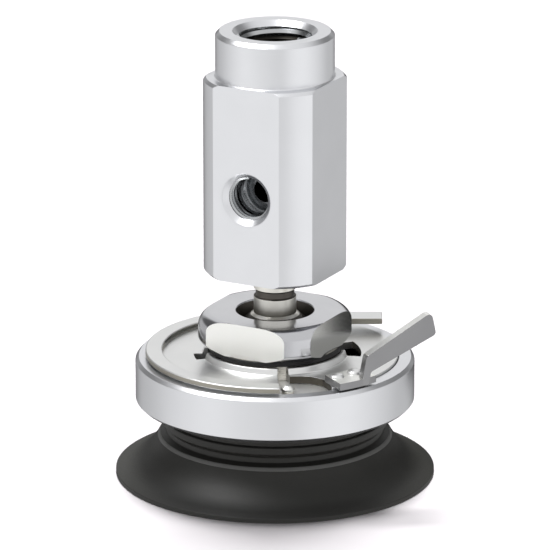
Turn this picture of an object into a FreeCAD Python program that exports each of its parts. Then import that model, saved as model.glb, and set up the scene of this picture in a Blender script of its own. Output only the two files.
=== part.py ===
import FreeCAD, Part
import os
import re
import Sketcher

# Ball joint vacuum pad: a threaded adapter, a ball stud, a socket and a rubber suction cup held by a lock ring.
# Millimetres and degrees. The origin is the centre of the lip's contact circle, +Z points up to the thread.

doc = FreeCAD.newDocument("BallJointVacuumPad")
sheet = doc.addObject("Spreadsheet::Sheet", "Sizes")

SIZES = (
    # Rubber pad
    ("pad_radius", 31.5),
    ("pad_height", 14.9),
    ("pad_neck_radius", 23.0),
    ("pad_shoulder_step", 2.0),
    ("pad_cove_radius", 2.2),
    ("flank_angle", 43),
    ("lip_rim_height", 1.6),
    ("lip_round", 2.0),
    ("lip_width", 1.3),
    ("cup_depth", 10.6),
    ("cup_ceiling_inset", 2.0),
    ("cleat_count", 8),
    ("cleat_width", 1.4),
    ("cleat_height", 1.0),
    ("cleat_root", 0.45),
    ("cleat_inset", 1.2),
    # Pad ring
    ("ring_radius", 27.5),
    ("ring_height", 9.1),
    ("ring_bevel", 0.7),
    ("ring_wall", 1.6),
    ("ring_lip_reach", 1.5),
    ("ring_lip_thickness", 1.2),
    # Base plate and pad core
    ("base_thickness", 5.0),
    ("boss_wall", 1.4),
    ("boss_drop", 3.4),
    ("core_thickness", 1.8),
    ("core_edge", 1.4),
    ("core_screw_count", 4),
    ("core_screw_inset", 2.6),
    ("core_screw_radius", 1.5),
    ("core_screw_head_radius", 2.8),
    ("core_screw_bearing", 45),
    # Ball stud
    ("ball_radius", 8.0),
    ("ball_rise", 11.3),
    ("neck_radius", 4.2),
    ("stud_bore_radius", 2.2),
    ("stud_flange_radius", 6.2),
    ("stud_flange_thickness", 2.0),
    ("stud_thread_radius", 5.0),
    ("stud_thread_length", 9.0),
    # Ball liner and seats
    ("liner_thickness", 0.46),
    ("liner_top_angle", 76),
    ("liner_bottom_angle", 112),
    ("seat_wall", 1.16),
    ("seat_top_rise", 4.2),
    ("seat_split", 0.2),
    ("seat_spring_gap", 0.7),
    ("seat_spring_thickness", 0.4),
    ("seal_section", 0.6),
    ("ball_seal_angle", 142),
    # Socket housing and holder
    ("housing_wall", 1.25),
    ("housing_shoulder", 1.8),
    ("housing_floor", 2.4),
    ("floor_drop", 8.2),
    ("spigot_radius", 6.9),
    ("spigot_length", 3.6),
    ("passage_radius", 3.0),
    ("lug_reach", 2.8),
    ("lug_thickness", 2.7),
    ("lug_half_angle", 6.3),
    ("holder_radius", 15.2),
    ("holder_flat_distance", 12.5),
    ("holder_rise", 0.4),
    ("holder_height", 6.8),
    ("holder_round", 2.5),
    ("holder_chamfer_width", 2.4),
    ("holder_chamfer_height", 1.9),
    ("mouth_radius", 7.7),
    ("mouth_throat_radius", 6.9),
    # Lock ring, band, lever, tab and stop pin
    ("lock_proud", 0.4),
    ("lock_flange_thickness", 1.6),
    ("lock_edge_bevel", 0.35),
    ("lock_hub_rise", 1.2),
    ("lock_hub_width", 0.7),
    ("lock_hub_slope", 0.4),
    ("band_inner_inset", 2.2),
    ("band_outer_inset", 2.0),
    ("band_thickness", 1.1),
    ("band_end_bearing", 70),
    ("band_angle", 202),
    ("lock_travel_angle", 18),
    ("lock_notch_bearing", 9),
    ("lock_notch_spare_angle", 0.7),
    ("stop_inset", 4.0),
    ("stop_radius", 1.15),
    ("stop_bearing", -83),
    ("stop_depth", 3.9),
    ("gap_before_stop_angle", 5),
    ("gap_after_stop_angle", 17),
    ("gap_edge_radius", 16.0),
    ("lock_spring_width", 2.8),
    ("lock_spring_thickness", 0.35),
    ("foot_thickness", 1.4),
    ("foot_start_bearing", -62),
    ("foot_angle", 19),
    ("foot_width", 6.2),
    ("foot_outer_inset", 0.7),
    ("lever_root_inset", 1.5),
    ("lever_root_bearing", -48),
    ("lever_bearing", 20),
    ("lever_thickness", 2.0),
    ("lever_rise", 13.4),
    ("lever_reach", 14.4),
    ("lever_tip_width", 4.4),
    ("lever_bend_width", 3.0),
    ("lever_root_width", 2.2),
    ("lever_bend_rise", 5.8),
    ("lever_edge_round", 0.33),
    ("tab_near_inset", 0.6),
    ("tab_depth", 6.8),
    ("tab_right_inset", 3.0),
    ("tab_left_inset", 5.2),
    ("tab_base_length", 5.2),
    ("tab_thickness", 1.3),
    ("tab_rise", 3.0),
    ("rivet_radius", 0.9),
    ("rivet_head_radius", 1.5),
    ("rivet_head_height", 0.7),
    ("rivet_grip", 2.4),
    ("lever_rivet_inset", 1.8),
    ("lever_rivet_bearing", -58),
    ("lever_rivet_angle", 11),
    # Adapter
    ("neck_length", 15.5),
    ("adapter_square_height", 39.3),
    ("adapter_corner_radius", 14.0),
    ("adapter_flat_distance", 12.0),
    ("adapter_bevel", 0.6),
    ("collar_radius", 11.6),
    ("collar_height", 9.0),
    ("collar_bevel", 0.8),
    ("top_thread_radius", 7.2),
    ("top_thread_length", 16.0),
    ("top_countersink_radius", 8.3),
    ("port_bearing", 242),
    ("port_rise", 17.1),
    ("port_thread_radius", 4.3),
    ("port_thread_length", 8.0),
    ("port_countersink_radius", 5.4),
    ("port_passage_radius", 2.5),
    ("seal_recess_depth", 1.3),
    ("drill_point_angle", 30),
    ("cutter_overrun", 1.0),
    # Clearances
    ("running_clearance", 0.04),
    ("seat_clearance", 0.05),
    ("lock_clearance", 0.4),
    ("axial_clearance", 0.3),
    ("lug_clearance", 0.1),
    ("clamp_gap", 0.4),
    ("flange_recess", 0.2),
)
for row, (alias, size) in enumerate(SIZES, start=1):
    sheet.set(f"A{row}", alias.replace("_", " "))
    sheet.set(f"B{row}", str(size))
    sheet.setAlias(f"B{row}", alias)
doc.recompute()

# Levels and radii that follow from the driving sizes.
RING_TOP = "(pad_height + ring_height)"
RING_BORE = "(ring_radius - ring_wall)"
RING_LIP = "(ring_radius - ring_wall - ring_lip_reach)"
BASE_TOP = "(pad_height + base_thickness)"
BALL_HEIGHT = "(pad_height + ball_rise)"
HOLDER_BOTTOM = f"({BALL_HEIGHT} + holder_rise)"
ADAPTER_BOTTOM = f"({BALL_HEIGHT} + neck_length)"
LOCK_TOP = "(pad_height + ring_height + lock_proud)"
FLANGE_TOP = "(pad_height + ring_height - ring_lip_thickness - axial_clearance)"
LOCK_BOTTOM = f"({FLANGE_TOP} - lock_flange_thickness)"
LINER_INNER = "(ball_radius + running_clearance)"
LINER_OUTER = f"({LINER_INNER} + liner_thickness)"
SEAT_INNER = f"({LINER_OUTER} + running_clearance)"
SEAT_OUTER = f"({SEAT_INNER} + seat_wall)"
SEAT_TOP = f"({BALL_HEIGHT} + seat_top_rise)"
HOUSING_BORE = f"({SEAT_OUTER} + seat_clearance)"
HOUSING_THREAD = f"({HOUSING_BORE} + housing_wall)"
HOUSING_RADIUS = f"({HOUSING_THREAD} + housing_shoulder)"
HOUSING_FLOOR = f"({BALL_HEIGHT} - floor_drop)"
HOUSING_BOTTOM = f"({HOUSING_FLOOR} - housing_floor)"
HOUSING_TOP = f"({SEAT_TOP} - clamp_gap)"
LOWER_SEAT_BOTTOM = f"({HOUSING_FLOOR} + seat_spring_gap)"
LOCK_HOLE = f"({HOUSING_RADIUS} + lock_clearance)"
LUG_RADIUS = f"({HOUSING_RADIUS} + lug_reach)"
LUG_TOP = f"({LOCK_BOTTOM} - axial_clearance - lug_clearance)"
LUG_BOTTOM = f"({LUG_TOP} - lug_thickness)"
HOLDER_TOP = f"({HOLDER_BOTTOM} + holder_height)"
STUD_FLANGE_BOTTOM = f"({ADAPTER_BOTTOM} + flange_recess)"
STUD_FLANGE_TOP = f"({STUD_FLANGE_BOTTOM} + stud_flange_thickness)"
STUD_TOP = f"({STUD_FLANGE_TOP} + stud_thread_length)"
ADAPTER_SHOULDER = f"({ADAPTER_BOTTOM} + adapter_square_height)"
ADAPTER_TOP = f"({ADAPTER_SHOULDER} + collar_height)"
PORT_HEIGHT = f"({ADAPTER_BOTTOM} + port_rise)"
BOSS_BOTTOM = "(pad_height - boss_drop)"
SPIGOT_BOTTOM = f"({HOUSING_BOTTOM} - spigot_length)"
BOSS_RADIUS = f"({HOUSING_RADIUS} + lock_clearance + boss_wall)"
CUP_CEILING = "(pad_neck_radius - cup_ceiling_inset)"
CORE_RADIUS = "(pad_neck_radius - core_edge)"
CORE_BOTTOM = "(pad_height - core_thickness)"
HUB_TOP = f"({LOCK_TOP} + lock_hub_rise)"
HUB_RADIUS = f"({LOCK_HOLE} + lock_hub_width)"
TAB_NEAR = f"({LOCK_HOLE} - tab_near_inset)"
TAB_LEFT = f"({LOCK_HOLE} - tab_left_inset)"
TAB_RISER = f"({TAB_LEFT} + tab_base_length)"
TAB_RIGHT = f"({RING_LIP} - tab_right_inset)"


def bound(expression):
    """The expression with each size's name pointing at its cell."""
    return re.sub(r"\b[a-z][a-z_0-9]*\b(?!\()", r"Sizes.\g<0>", expression)


def number(expression):
    """The expression's value now."""
    return float(sheet.evalExpression(expression))


def origin_feature(body, role):
    return next(item for item in body.Origin.OriginFeatures if item.Role == role)


def new_body(label):
    return doc.addObject("PartDesign::Body", label)


def hold(sketch, geometry, position, across, up):
    """Ties one point of a sketch to a place given by two expressions."""
    for kind, axis, place in (("DistanceX", -2, across), ("DistanceY", -1, up)):
        if place == "0":
            sketch.addConstraint(Sketcher.Constraint("PointOnObject", geometry, position, axis))
        else:
            index = sketch.addConstraint(Sketcher.Constraint(kind, -1, 1, geometry, position, number(place)))
            sketch.setExpression(f"Constraints[{index}]", bound(place))


def new_sketch(body, name, role):
    sketch = body.newObject("Sketcher::SketchObject", name)
    sketch.AttachmentSupport = [(origin_feature(body, role), "")]
    sketch.MapMode = "FlatFace"
    return sketch


def draw_outline(sketch, points, arcs=None):
    """Draws a closed outline through the points; arcs gives a centre for each stretch that is round."""
    arcs = arcs or {}
    places = [FreeCAD.Vector(number(across), number(up), 0) for across, up in points]
    ends = []
    for index, start in enumerate(places):
        finish = places[(index + 1) % len(places)]
        if index not in arcs:
            ends.append((sketch.addGeometry(Part.LineSegment(start, finish)), 1, 2))
            continue
        centre = FreeCAD.Vector(number(arcs[index][0]), number(arcs[index][1]), 0)
        anticlockwise = (start - centre).cross(finish - centre).z > 0
        first, last = (start, finish) if anticlockwise else (finish, start)
        circle = Part.Circle(centre, FreeCAD.Vector(0, 0, 1), (start - centre).Length)
        arc = Part.ArcOfCircle(circle, circle.parameter(first), circle.parameter(last))
        geometry = sketch.addGeometry(arc)
        ends.append((geometry, 1, 2) if anticlockwise else (geometry, 2, 1))
    for index, (geometry, start, finish) in enumerate(ends):
        following, following_start, _ = ends[(index + 1) % len(ends)]
        sketch.addConstraint(Sketcher.Constraint("Coincident", geometry, finish, following, following_start))
        hold(sketch, geometry, start, *points[index])
    for index, (across, _) in arcs.items():
        geometry = ends[index][0]
        if across == "0":
            sketch.addConstraint(Sketcher.Constraint("PointOnObject", geometry, 3, -2))
        else:
            constraint = Sketcher.Constraint("DistanceX", -1, 1, geometry, 3, number(across))
            sketch.setExpression(f"Constraints[{sketch.addConstraint(constraint)}]", bound(across))


def turned(label, points, arcs=None, sweep="360"):
    """A body turned about Z from half of its section, with points given as radius and height."""
    body = new_body(label)
    sketch = new_sketch(body, label + "_section", "XZ_Plane")
    draw_outline(sketch, points, arcs)
    revolution = body.newObject("PartDesign::Revolution", label + "_turned")
    revolution.Profile = sketch
    revolution.ReferenceAxis = (sketch, ["V_Axis"])
    revolution.setExpression("Angle", bound(sweep))
    sketch.Visibility = False
    doc.recompute()
    return body


def cut_through(body, name, points, arcs=None):
    """Cuts an outline of the XY plane through the whole body."""
    before = body.Shape.Volume
    sketch = new_sketch(body, name + "_outline", "XY_Plane")
    draw_outline(sketch, points, arcs)
    pocket = body.newObject("PartDesign::Pocket", name)
    pocket.Profile = sketch
    pocket.Type = "ThroughAll"
    pocket.Reversed = True
    doc.recompute()
    if body.Shape.Volume >= before:
        raise RuntimeError(f"{name} cuts nothing")
    return pocket


def raised(body, name, role, points, length, middle=False, flipped=False):
    """Raises an outline of one of the body's origin planes."""
    sketch = new_sketch(body, name + "_outline", role)
    draw_outline(sketch, points)
    pad = body.newObject("PartDesign::Pad", name)
    pad.Profile = sketch
    pad.setExpression("Length", bound(length))
    pad.Midplane = middle
    pad.Reversed = flipped
    doc.recompute()
    return pad


def around(body, feature, count):
    """Repeats a feature evenly about Z."""
    pattern = body.newObject("PartDesign::PolarPattern", feature.Name + "_pattern")
    pattern.Originals = [feature]
    pattern.Axis = (origin_feature(body, "Z_Axis"), [""])
    pattern.Angle = 360
    pattern.setExpression("Occurrences", bound(count))
    body.Tip = pattern
    doc.recompute()


def drilled(body, name, height, points):
    """Turns a hole's half section about the level line at the given height and cuts it from the body."""
    before = body.Shape.Volume
    sketch = new_sketch(body, name + "_section", "XZ_Plane")
    draw_outline(sketch, points)
    near = FreeCAD.Vector(0, number(height), 0)
    line = sketch.addGeometry(Part.LineSegment(near, near + FreeCAD.Vector(1, 0, 0)), True)
    sketch.addConstraint(Sketcher.Constraint("Horizontal", line))
    hold(sketch, line, 1, "0", height)
    sketch.addConstraint(Sketcher.Constraint("DistanceX", line, 1, line, 2, 1))
    groove = body.newObject("PartDesign::Groove", name)
    groove.Profile = sketch
    groove.ReferenceAxis = (sketch, ["Axis0"])
    groove.Angle = 360
    doc.recompute()
    if body.Shape.Volume >= before:
        raise RuntimeError(f"{name} cuts nothing")


def upright(label, radius, bottom, top, across="0", along="0"):
    """A cylinder parallel to Z."""
    cylinder = doc.addObject("Part::Cylinder", label)
    cylinder.setExpression("Radius", bound(radius))
    cylinder.setExpression("Height", bound(f"({top}) - ({bottom})"))
    cylinder.setExpression("Placement.Base.x", bound(across))
    cylinder.setExpression("Placement.Base.y", bound(along))
    cylinder.setExpression("Placement.Base.z", bound(bottom))
    return cylinder


def turn_about_z(item, angle):
    """Turns an object about Z by an angle from the sheet."""
    item.Placement.Rotation = FreeCAD.Rotation(FreeCAD.Vector(0, 0, 1), number(angle))
    item.setExpression("Placement.Rotation.Angle", bound(angle))


def sector(label, radius, bottom, height, start, sweep):
    """A slice of a disc about Z, from a bearing through a sweep."""
    slice_of_disc = doc.addObject("Part::Cylinder", label)
    slice_of_disc.setExpression("Radius", bound(radius))
    slice_of_disc.setExpression("Height", bound(height))
    slice_of_disc.setExpression("Angle", bound(sweep))
    slice_of_disc.setExpression("Placement.Base.z", bound(bottom))
    turn_about_z(slice_of_disc, start)
    return slice_of_disc


def joined(label, items):
    fusion = doc.addObject("Part::MultiFuse", label)
    fusion.Shapes = items
    doc.recompute()
    return fusion


def without(label, base, tool):
    cut = doc.addObject("Part::Cut", label)
    cut.Base = base
    cut.Tool = tool
    doc.recompute()
    return cut


def group(label, items):
    compound = doc.addObject("Part::Compound", label)
    compound.Links = items
    doc.recompute()
    return compound


def polar(radius, angle):
    return f"({radius}) * cos({angle})", f"({radius}) * sin({angle})"


def ring_seal(label, circle, height):
    """An O-ring; its circle is the radius to the middle of its section."""
    torus = doc.addObject("Part::Torus", label)
    torus.setExpression("Radius1", bound(circle))
    torus.setExpression("Radius2", bound("seal_section"))
    torus.setExpression("Placement.Base.z", bound(height))
    return torus


def disc_spring(label, inner, outer, bottom, rise, thickness):
    """A conical washer whose inner edge stands higher than its outer edge."""
    return turned(label, [
        (inner, f"{bottom} + {rise}"),
        (outer, bottom),
        (outer, f"{bottom} + {thickness}"),
        (inner, f"{bottom} + {rise} + {thickness}"),
    ])


def on_sphere(radius, angle):
    """Radius and height of a point of a sphere about the ball's centre, its angle counted from the top."""
    return f"{radius} * sin({angle})", f"{BALL_HEIGHT} + {radius} * cos({angle})"


def at_radius(sphere, radius, side="+"):
    """A point of a sphere about the ball's centre at a distance from the axis, above or below the centre."""
    return radius, f"{BALL_HEIGHT} {side} sqrt({sphere} ^ 2 - ({radius}) ^ 2)"


BALL_CENTRE = ("0", BALL_HEIGHT)


def make_adapter():
    recess = f"{STUD_FLANGE_TOP} + seal_recess_depth"
    passage_end = f"{PORT_HEIGHT} + port_passage_radius"
    thread_end = f"{ADAPTER_TOP} - top_thread_length"
    countersink = "(top_countersink_radius - top_thread_radius)"
    body = turned("adapter_body", [
        ("0", passage_end),
        ("port_passage_radius", passage_end),
        ("port_passage_radius", f"{STUD_TOP} + axial_clearance"),
        ("stud_thread_radius", f"{STUD_TOP} + axial_clearance"),
        ("stud_thread_radius", recess),
        ("stud_flange_radius + axial_clearance", recess),
        ("stud_flange_radius + axial_clearance", ADAPTER_BOTTOM),
        ("adapter_corner_radius - adapter_bevel", ADAPTER_BOTTOM),
        ("adapter_corner_radius", f"{ADAPTER_BOTTOM} + adapter_bevel"),
        ("adapter_corner_radius", f"{ADAPTER_SHOULDER} - adapter_bevel"),
        ("adapter_corner_radius - adapter_bevel", ADAPTER_SHOULDER),
        ("collar_radius", ADAPTER_SHOULDER),
        ("collar_radius", f"{ADAPTER_TOP} - collar_bevel"),
        ("collar_radius - collar_bevel", ADAPTER_TOP),
        ("top_countersink_radius", ADAPTER_TOP),
        ("top_thread_radius", f"{ADAPTER_TOP} - {countersink}"),
        ("top_thread_radius", thread_end),
        ("0", f"{thread_end} - top_thread_radius * tan(drill_point_angle)"),
    ])
    flat = cut_through(body, "adapter_flat", [
        ("adapter_flat_distance", "-adapter_corner_radius"),
        ("adapter_corner_radius + cutter_overrun", "-adapter_corner_radius"),
        ("adapter_corner_radius + cutter_overrun", "adapter_corner_radius"),
        ("adapter_flat_distance", "adapter_corner_radius"),
    ])
    around(body, flat, "4")
    port_sink = "(port_countersink_radius - port_thread_radius)"
    drilled(body, "vacuum_port", PORT_HEIGHT, [
        ("0", PORT_HEIGHT),
        ("adapter_flat_distance", PORT_HEIGHT),
        ("adapter_flat_distance", f"{PORT_HEIGHT} + port_countersink_radius"),
        (f"adapter_flat_distance - {port_sink}", f"{PORT_HEIGHT} + port_thread_radius"),
        ("adapter_flat_distance - port_thread_length", f"{PORT_HEIGHT} + port_thread_radius"),
        ("adapter_flat_distance - port_thread_length", f"{PORT_HEIGHT} + port_passage_radius - seat_clearance"),
        ("0", f"{PORT_HEIGHT} + port_passage_radius - seat_clearance"),
    ])
    turn_about_z(body, "port_bearing")
    return body


def make_ball_stud():
    return turned("ball_stud", [
        at_radius("ball_radius", "neck_radius"),
        ("neck_radius", STUD_FLANGE_BOTTOM),
        ("stud_flange_radius", STUD_FLANGE_BOTTOM),
        ("stud_flange_radius", STUD_FLANGE_TOP),
        ("stud_thread_radius", STUD_FLANGE_TOP),
        ("stud_thread_radius", STUD_TOP),
        ("stud_bore_radius", STUD_TOP),
        at_radius("ball_radius", "stud_bore_radius", "-"),
    ], {7: BALL_CENTRE})


def make_liner():
    return turned("ball_liner", [
        on_sphere(LINER_INNER, "liner_bottom_angle"),
        on_sphere(LINER_OUTER, "liner_bottom_angle"),
        on_sphere(LINER_OUTER, "liner_top_angle"),
        on_sphere(LINER_INNER, "liner_top_angle"),
    ], {1: BALL_CENTRE, 3: BALL_CENTRE})


def make_upper_seat():
    bottom = f"({BALL_HEIGHT} + seat_split / 2)"
    return turned("upper_ball_seat", [
        (f"sqrt({SEAT_INNER} ^ 2 - (seat_split / 2) ^ 2)", bottom),
        (SEAT_OUTER, bottom),
        (SEAT_OUTER, SEAT_TOP),
        (f"sqrt({SEAT_INNER} ^ 2 - seat_top_rise ^ 2)", SEAT_TOP),
    ], {3: BALL_CENTRE})


def make_lower_seat():
    top = f"({BALL_HEIGHT} - seat_split / 2)"
    hole = "(ball_radius * sin(ball_seal_angle) + seal_section * 2)"
    return turned("lower_ball_seat", [
        (f"sqrt({SEAT_INNER} ^ 2 - (seat_split / 2) ^ 2)", top),
        (SEAT_OUTER, top),
        (SEAT_OUTER, LOWER_SEAT_BOTTOM),
        (hole, LOWER_SEAT_BOTTOM),
        at_radius(SEAT_INNER, hole, "-"),
    ], {4: BALL_CENTRE})


def make_ball_seal():
    reach = "(ball_radius + running_clearance + seal_section)"
    circle, height = on_sphere(reach, "ball_seal_angle")
    return ring_seal("ball_seal", circle, height)


def make_seat_spring():
    inner = "(ball_radius * sin(ball_seal_angle) + seal_section * 2)"
    rise = "(seat_spring_gap - seat_spring_thickness - seat_clearance)"
    outer = f"{HOUSING_BORE} - seat_clearance"
    return disc_spring("seat_spring", inner, outer, HOUSING_FLOOR, rise, "seat_spring_thickness")


def make_housing():
    seal_groove_top = f"({HOUSING_BOTTOM} - spigot_length / 2 + seal_section + seat_clearance)"
    seal_groove_bottom = f"({HOUSING_BOTTOM} - spigot_length / 2 - seal_section - seat_clearance)"
    groove_floor = "(spigot_radius - seal_section * 2)"
    body = turned("housing_blank", [
        ("passage_radius", SPIGOT_BOTTOM),
        ("spigot_radius", SPIGOT_BOTTOM),
        ("spigot_radius", seal_groove_bottom),
        (groove_floor, seal_groove_bottom),
        (groove_floor, seal_groove_top),
        ("spigot_radius", seal_groove_top),
        ("spigot_radius", HOUSING_BOTTOM),
        (HOUSING_RADIUS, HOUSING_BOTTOM),
        (HOUSING_RADIUS, HOLDER_BOTTOM),
        (HOUSING_THREAD, HOLDER_BOTTOM),
        (HOUSING_THREAD, HOUSING_TOP),
        (HOUSING_BORE, HOUSING_TOP),
        (HOUSING_BORE, HOUSING_FLOOR),
        ("passage_radius", HOUSING_FLOOR),
    ])
    start = "lock_notch_bearing - lock_travel_angle - lug_half_angle"
    sweep = "lug_half_angle * 2"
    lug = sector("lug_sector", LUG_RADIUS, LUG_BOTTOM, "lug_thickness", start, sweep)
    opposite = sector("far_lug_sector", LUG_RADIUS, LUG_BOTTOM, "lug_thickness", f"{start} + 180", sweep)
    core = upright("lug_root", f"{HOUSING_RADIUS} - housing_shoulder / 2", LUG_BOTTOM, LUG_TOP)
    lugs = without("lugs", joined("lug_sectors", [lug, opposite]), core)
    return joined("socket_housing", [body, lugs])


def make_spigot_seal():
    height = f"{HOUSING_BOTTOM} - spigot_length / 2"
    return ring_seal("spigot_seal", "spigot_radius - seal_section", height)


def make_holder():
    round_centre = ("holder_radius - holder_round", f"{HOLDER_TOP} - holder_round")
    bore = f"{HOUSING_THREAD} + seat_clearance"
    ceiling = f"{SEAT_TOP} + seat_clearance"
    body = turned("ball_holder", [
        (bore, HOLDER_BOTTOM),
        ("holder_radius - holder_chamfer_width", HOLDER_BOTTOM),
        ("holder_radius", f"{HOLDER_BOTTOM} + holder_chamfer_height"),
        ("holder_radius", f"{HOLDER_TOP} - holder_round"),
        ("holder_radius - holder_round", HOLDER_TOP),
        ("mouth_radius", HOLDER_TOP),
        ("mouth_throat_radius", ceiling),
        (bore, ceiling),
    ], {3: round_centre})
    flat = cut_through(body, "holder_flat", [
        ("holder_flat_distance", "-holder_radius"),
        ("holder_radius + cutter_overrun", "-holder_radius"),
        ("holder_radius + cutter_overrun", "holder_radius"),
        ("holder_flat_distance", "holder_radius"),
    ])
    around(body, flat, "4")
    turn_about_z(body, "port_bearing")
    return body


def make_pad_ring():
    return turned("pad_ring", [
        (RING_BORE, "pad_height"),
        ("ring_radius - ring_bevel", "pad_height"),
        ("ring_radius", "pad_height + ring_bevel"),
        ("ring_radius", f"{RING_TOP} - ring_bevel"),
        ("ring_radius - ring_bevel", RING_TOP),
        (RING_LIP, RING_TOP),
        (RING_LIP, f"{RING_TOP} - ring_lip_thickness"),
        (RING_BORE, f"{RING_TOP} - ring_lip_thickness"),
    ])


def core_screw_places():
    """Places of the screws that hold the core, evenly round the base plate."""
    count = int(number("core_screw_count"))
    circle = f"{CORE_RADIUS} - core_screw_inset"
    return [polar(circle, f"core_screw_bearing + {360 * turn / count}") for turn in range(count)]


def make_core_screws():
    """Countersunk screws; the heads lie flush in the base plate."""
    screws = []
    sink = "(core_screw_head_radius - core_screw_radius)"
    for turn, (across, along) in enumerate(core_screw_places(), start=1):
        shank = upright(f"core_screw_shank_{turn}", "core_screw_radius", CORE_BOTTOM, BASE_TOP, across, along)
        head = doc.addObject("Part::Cone", f"core_screw_head_{turn}")
        head.setExpression("Radius1", bound("core_screw_radius"))
        head.setExpression("Radius2", bound("core_screw_head_radius"))
        head.setExpression("Height", bound(sink))
        head.setExpression("Placement.Base.x", bound(across))
        head.setExpression("Placement.Base.y", bound(along))
        head.setExpression("Placement.Base.z", bound(f"{BASE_TOP} - {sink}"))
        screws.append(joined(f"core_screw_{turn}", [shank, head]))
    return group("core_screws", screws)


def stop_place():
    return polar(f"{RING_LIP} - stop_inset", "stop_bearing")


def make_stop_pin():
    across, along = stop_place()
    return upright("stop_pin", "stop_radius", f"{BASE_TOP} - stop_depth", LOCK_TOP, across, along)


def make_base_plate(screws, pin):
    radius = f"({RING_BORE} - seat_clearance)"
    body = turned("base_plate_blank", [
        ("spigot_radius + seat_clearance", BOSS_BOTTOM),
        (BOSS_RADIUS, BOSS_BOTTOM),
        (BOSS_RADIUS, "pad_height"),
        (radius, "pad_height"),
        (radius, BASE_TOP),
        (f"{LUG_RADIUS} + lock_clearance", BASE_TOP),
        (f"{LUG_RADIUS} + lock_clearance", f"{LUG_BOTTOM} - lug_clearance"),
        (f"{HOUSING_RADIUS} + lock_clearance", f"{LUG_BOTTOM} - lug_clearance"),
        (f"{HOUSING_RADIUS} + lock_clearance", f"{HOUSING_BOTTOM} - lug_clearance"),
        ("spigot_radius + seat_clearance", f"{HOUSING_BOTTOM} - lug_clearance"),
    ])
    return without("base_plate", body, joined("base_plate_holes", [*screws.Links, pin]))


def make_pad_core(screws):
    body = turned("pad_core_blank", [
        (f"{BOSS_RADIUS} + axial_clearance", CORE_BOTTOM),
        (CORE_RADIUS, CORE_BOTTOM),
        (CORE_RADIUS, "pad_height"),
        (f"{BOSS_RADIUS} + axial_clearance", "pad_height"),
    ])
    return without("pad_core", body, joined("pad_core_holes", screws.Links))


def make_rubber_pad():
    hole = f"({BOSS_RADIUS} + seat_clearance)"
    shoulder = "(pad_neck_radius + pad_shoulder_step)"
    flank_foot = "(pad_radius - lip_round + lip_round * sin(flank_angle))"
    flank_level = "(lip_rim_height + lip_round * cos(flank_angle))"
    shoulder_level = f"({flank_level} + ({flank_foot} - {shoulder}) * tan(flank_angle))"
    cove_middle = "(pad_neck_radius + pad_cove_radius)"
    cove_level = f"({shoulder_level} + sqrt(pad_cove_radius ^ 2 - ({cove_middle} - {shoulder}) ^ 2))"
    body = turned("rubber_pad", [
        (hole, "cup_depth"),
        (CUP_CEILING, "cup_depth"),
        ("pad_radius - lip_width", "0"),
        ("pad_radius", "0"),
        ("pad_radius", "lip_rim_height"),
        (flank_foot, flank_level),
        (shoulder, shoulder_level),
        ("pad_neck_radius", cove_level),
        ("pad_neck_radius", "pad_height"),
        (CORE_RADIUS, "pad_height"),
        (CORE_RADIUS, CORE_BOTTOM),
        (hole, CORE_BOTTOM),
    ], {4: ("pad_radius - lip_round", "lip_rim_height"), 6: (cove_middle, cove_level)})
    inner = f"({hole} + cleat_inset)"
    outer = f"({CUP_CEILING} - cleat_inset)"
    cleat = body.newObject("PartDesign::Pad", "cleat")
    sketch = new_sketch(body, "cleat_outline", "XY_Plane")
    draw_outline(sketch, [
        (inner, "-cleat_width / 2"),
        (outer, "-cleat_width / 2"),
        (outer, "cleat_width / 2"),
        (inner, "cleat_width / 2"),
    ])
    sketch.setExpression("AttachmentOffset.Base.z", bound("cup_depth - cleat_height"))
    cleat.Profile = sketch
    cleat.setExpression("Length", bound("cleat_height + cleat_root"))
    doc.recompute()
    around(body, cleat, "cleat_count")
    return body


def make_lock_spring():
    outer = f"({RING_BORE} - lock_clearance)"
    rise = f"({LOCK_BOTTOM} - {BASE_TOP} - axial_clearance - lock_spring_thickness)"
    inner = f"{outer} - lock_spring_width"
    return disc_spring("lock_spring", inner, outer, BASE_TOP, rise, "lock_spring_thickness")


def rivet_places():
    """Places of the rivets: two in the lever's foot, one in the tab, each with the height of its seat."""
    circle = f"{RING_LIP} - lever_rivet_inset"
    foot_top = f"{LOCK_TOP} + foot_thickness"
    return [
        (*polar(circle, "lever_rivet_bearing"), foot_top),
        (*polar(circle, "(lever_rivet_bearing + lever_rivet_angle)"), foot_top),
        (f"{TAB_LEFT} + tab_base_length / 2", f"{TAB_NEAR} + tab_depth / 2", f"{LOCK_TOP} + tab_thickness"),
    ]


def make_rivets():
    rivets = []
    for turn, (across, along, seat) in enumerate(rivet_places(), start=1):
        bottom = f"{LOCK_TOP} - rivet_grip"
        shank = upright(f"rivet_shank_{turn}", "rivet_radius", bottom, seat, across, along)
        head = doc.addObject("Part::Cone", f"rivet_head_{turn}")
        head.setExpression("Radius1", bound("rivet_head_radius"))
        head.setExpression("Radius2", bound("rivet_radius"))
        head.setExpression("Height", bound("rivet_head_height"))
        head.setExpression("Placement.Base.x", bound(across))
        head.setExpression("Placement.Base.y", bound(along))
        head.setExpression("Placement.Base.z", bound(seat))
        rivets.append(joined(f"rivet_{turn}", [shank, head]))
    return group("clip_rivets", rivets)


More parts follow.
